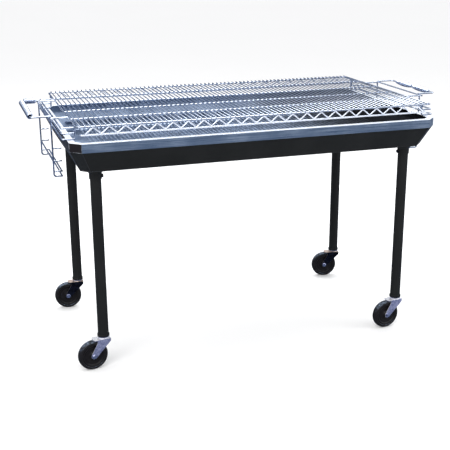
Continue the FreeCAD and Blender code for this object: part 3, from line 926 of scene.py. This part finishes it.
@dataclass
class Leg:
    """One leg: collar, tube and the caster's stem; its clamp screw is built with the others in ClampScrews.
    """

    finishes: Finishes
    place: Place
    wall: float = 0.0025
    tube_radius: float = 0.0225
    ring_height: float = 0.010
    flange: float = 0.004
    cone: float = 0.012
    collar_radius: float = 0.0255
    rounding: float = 0.0012
    fit: float = 0.0001
    beads: int = 52
    bead: Triple = (0.0016, 0.0026, 0.0016)
    bead_out: float = 0.0006
    bead_drop: float = 0.0012

    def build(self) -> None:
        """Build the pieces of the leg."""
        self.build_tube()
        self.build_collar()
        dress("caster_stem_" + self.place.value, self.finishes.zinc)

    def build_tube(self) -> None:
        """Tube with the ring round its foot."""
        node = "leg_" + self.place.value
        low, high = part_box(node)
        centre = (low + high) / 2
        ring = (high.x - low.x) / 2
        inner = self.tube_radius - self.wall
        foot, shoulder, top = low.z, low.z + self.ring_height, high.z
        bm = lathe(rounded([(inner, foot, 0.0), (ring, foot, self.rounding), (ring, shoulder, 0.0025),
                            (self.tube_radius, shoulder, 0.0008), (self.tube_radius, top, 0.0),
                            (inner, top, 0.0)]), 56)
        bm.transform(upright(centre))
        make_piece(bm, node + "_tube", self.finishes.enamel, "firebox", [node])

    def build_collar(self) -> None:
        """Flared collar, with the weld bead that holds it to the floor of the tub."""
        node = "leg_collar_" + self.place.value
        low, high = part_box(node)
        centre = (low + high) / 2
        flare = (high.x - low.x) / 2
        inner = self.tube_radius + self.fit
        throat = high.z - self.flange
        collar = lathe(rounded([(inner, low.z, 0.0), (self.collar_radius, low.z, self.rounding),
                                (self.collar_radius, throat - self.cone, 0.004), (flare, throat, 0.002),
                                (flare, high.z, 0.0), (inner, high.z, 0.0)]), 56)
        collar.transform(upright(centre))
        make_piece(collar, node + "_flare", self.finishes.enamel, "firebox", [node])
        bm = bmesh.new()
        seam = Vector((centre.x, centre.y, high.z - self.bead_drop))
        for i in range(self.beads):
            angle = math.tau * i / self.beads
            way = Vector((math.cos(angle), math.sin(angle), 0.0))
            add_bead(bm, seam + way * (flare + self.bead_out), self.bead, angle)
        make_piece(bm, "collar_weld_" + self.place.value, self.finishes.weld, "firebox")


@dataclass
class ClampScrews:
    """Hex screws through the collars, with their chamfered heads and washers."""

    finishes: Finishes
    flats: float = 0.013
    head: float = 0.0055
    washer: float = 0.0078
    washer_depth: float = 0.0012
    hole: float = 0.001
    start: float = 0.0259

    def build(self) -> None:
        """Build all four screws as one piece."""
        parts = []
        low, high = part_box("leg_clamp_screws")
        height = (low.z + high.z) / 2
        for place in Place:
            box_low, box_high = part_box("leg_" + place.value)
            leg = (box_low + box_high) / 2
            turn = Matrix.Rotation(math.copysign(QUARTER_TURN, leg.x), 4, "Z")
            screw = self.build_screw()
            screw.transform(Matrix.Translation((leg.x, leg.y, height)) @ turn)
            parts.append(screw)
        make_piece(joined(parts), "leg_clamp_screws_hex", self.finishes.dark_zinc, "firebox",
                   ["leg_clamp_screws"], 30.0)

    def build_screw(self) -> Mesh:
        """One screw along Y, measured from the leg's axis.

        Returns:
            The screw's mesh.
        """
        seat = self.start + self.washer_depth
        head = hex_head(self.flats, self.head - self.washer_depth)
        head.transform(Matrix.Translation((0.0, seat, 0.0)))
        return joined([flat_washer(self.hole, self.washer, self.start, seat, 32), head])


def flat_washer(hole: float, radius: float, under: float, top: float, steps: int) -> Mesh:
    """Washer round the Y axis, with soft edges.

    Args:
        hole: Radius of its hole.
        radius: Its radius.
        under: Where it starts along Y.
        top: Where it ends along Y.
        steps: Steps round it.

    Returns:
        The washer's mesh.
    """
    return lathe(rounded([(hole, under, 0.0), (radius, under, 0.0003), (radius, top, 0.0004),
                          (hole, top, 0.0)]), steps)


def hex_head(flats: float, height: float) -> Mesh:
    """Hexagonal head that stands on the XZ plane and points along +Y, with its corners turned down.

    Args:
        flats: Size across the flats.
        height: Height of the head.

    Returns:
        The head's mesh.
    """
    bm = bmesh.new()
    radius = flats / math.sqrt(3.0)
    turn = Matrix.Rotation(math.radians(-90.0), 4, "X")
    bmesh.ops.create_cone(bm, cap_ends=True, segments=6, radius1=radius, radius2=radius, depth=height,
                          matrix=Matrix.Translation((0.0, height / 2, 0.0)) @ turn)
    top = [e for e in bm.edges if all(v.co.y > height * 0.9 for v in e.verts)]
    bmesh.ops.bevel(bm, geom=top, offset=height * 0.22, offset_type="OFFSET", segments=3, profile=0.5,
                    affect="EDGES", clamp_overlap=True, material=-1)
    return bm


@dataclass
class Caster:
    """One swivel caster: fork, axle bolt and wheel."""

    finishes: Finishes
    place: Place
    tyre_depth: float = 0.013
    hub_radius: float = 0.014
    dish_radius: float = 0.040
    dish: float = 0.0075
    rim_face: float = 0.0140
    bore: float = 0.0051
    fork_edge: float = 0.0006
    nut_seat: float = 0.0210
    shank: float = 0.00495
    bolt_flats: float = 0.016
    bolt_head: float = 0.0048
    washer: float = 0.0105
    washer_depth: float = 0.001
    on_axle: Matrix = field(init=False)
    radius: float = field(init=False)

    def build(self) -> None:
        """Build the pieces of the caster."""
        name = self.place.value
        roll = joint("roll_" + name)
        axis = Vector(roll["axis"]).normalized()
        turn = math.atan2(-axis.x, axis.y)
        self.on_axle = Matrix.Translation(Vector(roll["pos_m"])) @ Matrix.Rotation(turn, 4, "Z")
        self.radius = Vector(roll["pos_m"]).z
        self.build_tyre()
        self.build_core()
        self.build_axle()
        self.build_fork()

    def half_width(self, node: str) -> float:
        """Half the width of a node of this caster, measured along the axle."""
        back = self.on_axle.inverted()
        return max((back @ v.co).y for v in frame["nodes"][node].data.vertices)

    def build_tyre(self) -> None:
        """Rubber tread with round shoulders and a raised mould line round its middle."""
        node = "tyre_" + self.place.value
        half = self.half_width(node)
        outer, seat = self.radius, self.radius - self.tyre_depth
        right = [(outer, 0.0006, 0.0), (outer - 0.0004, 0.0010, 0.0),
                 (outer - 0.0004, half - 0.0065, 0.004), (outer - 0.0058, half - 0.0004, 0.004),
                 (seat + 0.0016, half - 0.0006, 0.001), (seat, half - 0.0020, 0.0)]
        bm = lathe(rounded(both_sides(right), 5), 80)
        bm.transform(self.on_axle)
        make_piece(bm, node + "_tread", self.finishes.rubber, "wheel_" + self.place.value,
                   [node])

    def build_core(self) -> None:
        """Smooth dished core with a round lip, a raised ring and a hub."""
        node = "wheel_core_" + self.place.value
        hub = self.half_width(node)
        seat = self.radius - self.tyre_depth
        right = [(self.bore, hub, 0.0006), (self.hub_radius - 0.002, hub, 0.0016),
                 (self.hub_radius + 0.003, 0.0100, 0.002), (0.0230, self.dish + 0.0005, 0.003),
                 (0.0300, self.dish, 0.002), (0.0315, self.dish + 0.001, 0.001), (0.0335, self.dish, 0.001),
                 (self.dish_radius, self.dish, 0.003), (self.dish_radius + 0.004, self.rim_face, 0.0016),
                 (seat - 0.0004, self.rim_face, 0.0008), (seat - 0.0002, 0.0125, 0.0)]
        bm = lathe(rounded(both_sides(right), 4), 72)
        bm.transform(self.on_axle)
        make_piece(bm, node + "_disc", self.finishes.plastic, "wheel_" + self.place.value,
                   [node])

    def build_axle(self) -> None:
        """Axle bolt: hex head and nut on washers, with the thread's end past the nut."""
        node = "caster_axle_" + self.place.value
        seat = self.nut_seat + self.washer_depth
        parts = [lathe(rounded([(0.0002, -seat, 0.0), (self.shank, -seat, 0.0),
                                (self.shank, seat + 0.0054, 0.0008), (0.0002, seat + 0.0056, 0.0)]), 32)]
        for side in (-1.0, 1.0):
            washer = flat_washer(0.004, self.washer, self.nut_seat, seat, 36)
            head = hex_head(self.bolt_flats, self.bolt_head)
            head.transform(Matrix.Translation((0.0, seat, 0.0)))
            dome = lathe(rounded([(0.0001, seat + 0.003, 0.0), (0.0056, seat + 0.003, 0.0),
                                  (0.0050, seat + 0.0046, 0.0008), (0.0001, seat + 0.0049, 0.0)]), 28)
            for part in (washer, head, dome):
                if side < 0.0:
                    part.transform(Matrix.Rotation(math.pi, 4, "Z"))
                parts.append(part)
        bm = joined(parts)
        bm.transform(self.on_axle)
        make_piece(bm, node + "_bolt", self.finishes.bolt, "caster_" + self.place.value,
                   [node], 30.0)

    def build_fork(self) -> None:
        """Pressed fork, with its sheet edges rounded."""
        node = "caster_fork_" + self.place.value
        bm = cad_copy(node)
        bevel_sharp(bm, self.fork_edge, 40.0)
        make_piece(bm, node + "_pressing", self.plating(), "caster_" + self.place.value,
                   [node], even=True)

    def plating(self) -> Material:
        """Finish of the fork: bright zinc at the front, and at the back a darker copy of it that paints the
        shade on the back forks.
        """
        back = self.place in (Place.BACK_LEFT, Place.BACK_RIGHT)
        return self.finishes.dark_zinc if back else self.finishes.zinc


@dataclass
class CookingGrate:
    """Chrome wire grate: rods, their welds, trusses, rest steps, ladders and handles."""

    finishes: Finishes
    rod_pitch: float = 0.020
    rod_sides: int = 10
    rod_end: float = 0.0012
    weld_size: Triple = (0.0026, 0.0030, 0.0014)
    weld_rise: float = 0.0002
    support_wires: int = 4
    coil_wire: float = 0.0030
    coil_room: float = 0.0001
    coil_sides: int = 8
    coil_steps: int = 20
    spindle_gap: float = 0.008
    spindle_end: float = 0.0052
    grip_radius: float = 0.0125
    sleeve_arm: float = 0.054

    def build(self) -> None:
        """Build every piece of the cooking grate."""
        self.build_rods()
        self.build_welds()
        for node in ("truss_bottom_wires", "truss_zigzags"):
            dress(node, self.finishes.truss)
        kept = ["grate_frame_wire", "grate_support_wires"]
        for end in End:
            kept += [part + end.value for part in ("rest_steps_", "ladder_uprights_", "ladder_rungs_",
                                                   "ladder_bars_", "handle_wire_")]
        for node in kept:
            dress(node, self.finishes.chrome)
        self.build_spindles()
        self.build_sleeves()

    def rod_places(self) -> List[float]:
        """Work out where the rods lie.

        Returns:
            Places of the rods along the grate.
        """
        low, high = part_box("grate_rods")
        radius = (high.z - low.z) / 2
        count = round((high.x - low.x - 2 * radius) / self.rod_pitch)
        return [low.x + radius + i * self.rod_pitch for i in range(count + 1)]

    def build_rods(self) -> None:
        """Cooking rods with rounded ends."""
        low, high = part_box("grate_rods")
        centre = (low + high) / 2
        radius = (high.z - low.z) / 2
        lie_down = Matrix.Rotation(QUARTER_TURN, 4, "X")
        bm = bmesh.new()
        for x in self.rod_places():
            place = Matrix.Translation((x, 0.0, centre.z)) @ lie_down
            bmesh.ops.create_cone(bm, cap_ends=True, segments=self.rod_sides, radius1=radius,
                                  radius2=radius, depth=high.y - low.y, matrix=place)
        bevel_sharp(bm, self.rod_end, 60.0)
        make_piece(bm, "cooking_rods", self.finishes.chrome, "cooking_grate",
                   ["grate_rods"], 50.0)

    def build_welds(self) -> None:
        """Small spot welds where the rods cross the long wires."""
        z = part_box("grate_rods")[0].z + self.weld_rise
        bm = bmesh.new()
        for x in self.rod_places():
            for y in self.weld_rows():
                add_bead(bm, Vector((x, y, z)), self.weld_size)
        make_piece(bm, "rod_spot_welds", self.finishes.chrome, "cooking_grate", (), 60.0)

    def weld_rows(self) -> List[float]:
        """Find the wires that the rods are welded to.

        Returns:
            Places across the grate: the two sides of the frame wire, then the support wires.
        """
        frame_low, frame_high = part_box("grate_frame_wire")
        frame_radius = (frame_high.z - frame_low.z) / 2
        low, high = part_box("grate_support_wires")
        outer = high.y - (high.z - low.z) / 2
        step = 2 * outer / (self.support_wires - 1)
        supports = [-outer + i * step for i in range(self.support_wires)]
        return [frame_low.y + frame_radius, frame_high.y - frame_radius] + supports

    def coil(self, length: float, radius_at: Callable[[float], float]) -> Mesh:
        """Close-wound spring along Y, centred on the origin.

        Args:
            length: Length of the winding.
            radius_at: Distance of the wire's middle from the axis, at a place from -1 to 1 along it.

        Returns:
            The spring's mesh.
        """
        bm = bmesh.new()
        turns = int((length - self.coil_wire) / self.coil_wire)
        start = Vector((self.grip_radius, -length / 2 + self.coil_wire / 2, 0.0))
        bmesh.ops.create_circle(bm, cap_ends=False, segments=self.coil_sides, radius=self.coil_wire / 2,
                                matrix=Matrix.Translation(start))
        bmesh.ops.spin(bm, geom=bm.verts[:] + bm.edges[:], cent=(0, 0, 0), axis=(0, 1, 0),
                       dvec=(0.0, self.coil_wire / self.coil_steps, 0.0), angle=math.tau * turns,
                       steps=turns * self.coil_steps, use_merge=False, use_duplicate=False)
        ends = [e for e in bm.edges if len(e.link_faces) == 1]
        bmesh.ops.holes_fill(bm, edges=ends, sides=self.coil_sides)
        for v in bm.verts:
            away = Vector((v.co.x, 0.0, v.co.z))
            shift = radius_at(max(-1.0, min(1.0, 2 * v.co.y / length))) - self.grip_radius
            v.co += away.normalized() * shift
        return bm

    def closing(self, power: int) -> Callable[[float], float]:
        """Shape of a coil that closes in towards its ends.

        Args:
            power: 2 for a barrel; a large one keeps the coil even up to its last turns.

        Returns:
            A function that gives the wire's distance from the axis, at a place from -1 to 1 along it.
        """
        widest = self.grip_radius - self.coil_wire / 2 - self.coil_room
        return lambda t: widest - (widest - self.spindle_end) * abs(t) ** power

    def build_spindles(self) -> None:
        """The two barrel-shaped coil grips of the right-hand handle."""
        node = "handle_grips_right"
        low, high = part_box(node)
        centre = (low + high) / 2
        length = (high.y - low.y - self.spindle_gap) / 2
        parts = []
        for side in (-1.0, 1.0):
            grip = self.coil(length, self.closing(2))
            middle = side * (length + self.spindle_gap) / 2
            grip.transform(Matrix.Translation((centre.x, middle, centre.z)))
            parts.append(grip)
        make_piece(joined(parts), node + "_coils", self.finishes.coil, "cooking_grate",
                   [node], 60.0)

    def build_sleeves(self) -> None:
        """The even coil grips of the left-hand handle: along its bar and on its back arm."""
        node = "handle_grips_left"
        low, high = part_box(node)
        centre = (low + high) / 2
        across = self.coil(-2 * low.y, self.closing(60))
        across.transform(Matrix.Translation((low.x + self.grip_radius, 0.0, centre.z)))
        arm = self.coil(self.sleeve_arm, self.closing(10))
        lie_along = Matrix.Rotation(QUARTER_TURN, 4, "Z")
        middle = Vector((high.x - self.sleeve_arm / 2, high.y - self.grip_radius, centre.z))
        arm.transform(Matrix.Translation(middle) @ lie_along)
        make_piece(joined([across, arm]), node + "_coils", self.finishes.coil, "cooking_grate",
                   [node], 60.0)


@dataclass(frozen=True)
class Softbox:
    """A square softbox that faces a point."""

    name: str
    place: Triple
    target: Triple
    size: float
    power: float
    colour: Colour

    def hang(self) -> None:
        """Add the light to the scene."""
        light = bpy.data.lights.new(self.name, "AREA")
        light.shape = "SQUARE"
        light.size = self.size
        light.energy = self.power
        light.color = self.colour
        lamp = bpy.data.objects.new(self.name, light)
        lamp.location = self.place
        aim = Vector(self.target) - Vector(self.place)
        lamp.rotation_euler = aim.to_track_quat("-Z", "Y").to_euler()
        bpy.context.scene.collection.objects.link(lamp)


@dataclass
class Studio:
    """Floor, light and camera."""

    lights: Tuple[Softbox, ...] = (
        Softbox("key_softbox", (-2.6, -3.2, 4.2), (0.0, 0.0, 0.9), 2.6, 120.0, (1.0, 0.99, 0.97)),
        Softbox("top_softbox", (0.3, 0.9, 3.9), (0.0, 0.0, 0.9), 3.2, 150.0, (0.96, 0.98, 1.0)),
        Softbox("side_softbox", (3.6, -1.8, 2.2), (0.4, 0.0, 0.8), 1.8, 40.0, (0.93, 0.96, 1.0)))
    world_strength: float = 0.92
    world_low: Colour = (0.12, 0.17, 0.29)
    world_high: Colour = (1.35, 1.42, 1.5)
    white: Colour = (1.0, 1.0, 1.0)
    floor_size: float = 160.0
    floor_colour: Colour = (0.93, 0.93, 0.935)
    floor_shade: Colour = (0.90, 0.90, 0.905)
    floor_mirrored: Colour = (0.10, 0.13, 0.20)
    floor_glow: float = 0.10
    camera_place: Triple = (-1.234, -3.764, 1.722)
    yaw: float = math.radians(17.7)
    pitch: float = math.radians(17.8)
    roll: float = math.radians(-0.29)
    lens: float = 71.76
    sensor: float = 36.0

    def build(self) -> None:
        """Build the floor, the world, the lights and the camera."""
        self.build_floor()
        self.build_world()
        for light in self.lights:
            light.hang()
        self.build_camera()

    def build_floor(self) -> None:
        """Wide pale floor, with a faint unevenness."""
        bm = bmesh.new()
        bmesh.ops.create_grid(bm, x_segments=1, y_segments=1, size=self.floor_size / 2)
        mesh = bpy.data.meshes.new("studio_floor")
        bm.to_mesh(mesh)
        bm.free()
        floor = bpy.data.objects.new("studio_floor", mesh)
        bpy.context.scene.collection.objects.link(floor)
        surface = Surface("pale_floor")
        cloud = surface.noise(surface.where, 0.8, 3.0)
        pale = surface.blend(cloud, self.floor_colour, self.floor_shade)
        path = surface.add("ShaderNodeLightPath", {}).outputs
        surface.set("Base Color", surface.blend(path["Is Glossy Ray"], pale, self.floor_mirrored))
        surface.set("Roughness", 0.8)
        surface.set("Specular IOR Level", 0.1)
        surface.set("Emission Color", rgba(self.white))
        surface.set("Emission Strength", surface.maths("MULTIPLY", path["Is Camera Ray"], self.floor_glow))
        mesh.materials.append(surface.material)

    def build_world(self) -> None:
        """Even white surround, seen by polished metal as bright above and blue-grey at the horizon."""
        world = bpy.data.worlds.new("studio_world")
        world.use_nodes = True
        bpy.context.scene.world = world
        graph = Graph(world.node_tree)
        up = graph.split(graph.add("ShaderNodeTexCoord", {}).outputs["Generated"])[2]
        mirrored = graph.blend(graph.remap(up, 0.12, 0.85), self.world_low, self.world_high)
        glossy = graph.add("ShaderNodeLightPath", {}).outputs["Is Glossy Ray"]
        background = world.node_tree.nodes["Background"].inputs
        graph.feed(background["Color"], graph.blend(glossy, self.white, mirrored))
        graph.feed(background["Strength"], self.world_strength)

    def build_camera(self) -> None:
        """Camera a little above the grill and to the left of its middle."""
        forward = Vector((math.sin(self.yaw) * math.cos(self.pitch),
                          math.cos(self.yaw) * math.cos(self.pitch),
                          -math.sin(self.pitch)))
        right = Vector((math.cos(self.yaw), -math.sin(self.yaw), 0.0))
        above = right.cross(forward)
        turned_right = right * math.cos(self.roll) + above * math.sin(self.roll)
        turned_up = above * math.cos(self.roll) - right * math.sin(self.roll)
        matrix = Matrix((turned_right, turned_up, -forward)).transposed().to_4x4()
        data = bpy.data.cameras.new("view_camera")
        data.lens = self.lens
        data.sensor_width = self.sensor
        data.clip_end = 500.0
        camera = bpy.data.objects.new("view_camera", data)
        camera.matrix_world = Matrix.Translation(self.camera_place) @ matrix
        bpy.context.scene.collection.objects.link(camera)
        bpy.context.scene.camera = camera
        bpy.context.scene.view_settings.view_transform = "Standard"


def main() -> None:
    """Build the grill's sub-assemblies and the studio round it."""
    logging.basicConfig(level=logging.INFO, format="%(message)s")
    finishes = Finishes(Effects())
    Firebox(finishes).build()
    for place in Place:
        Leg(finishes, place).build()
        Caster(finishes, place).build()
    ClampScrews(finishes).build()
    CookingGrate(finishes).build()
    Studio().build()


if __name__ == "__main__":
    main()
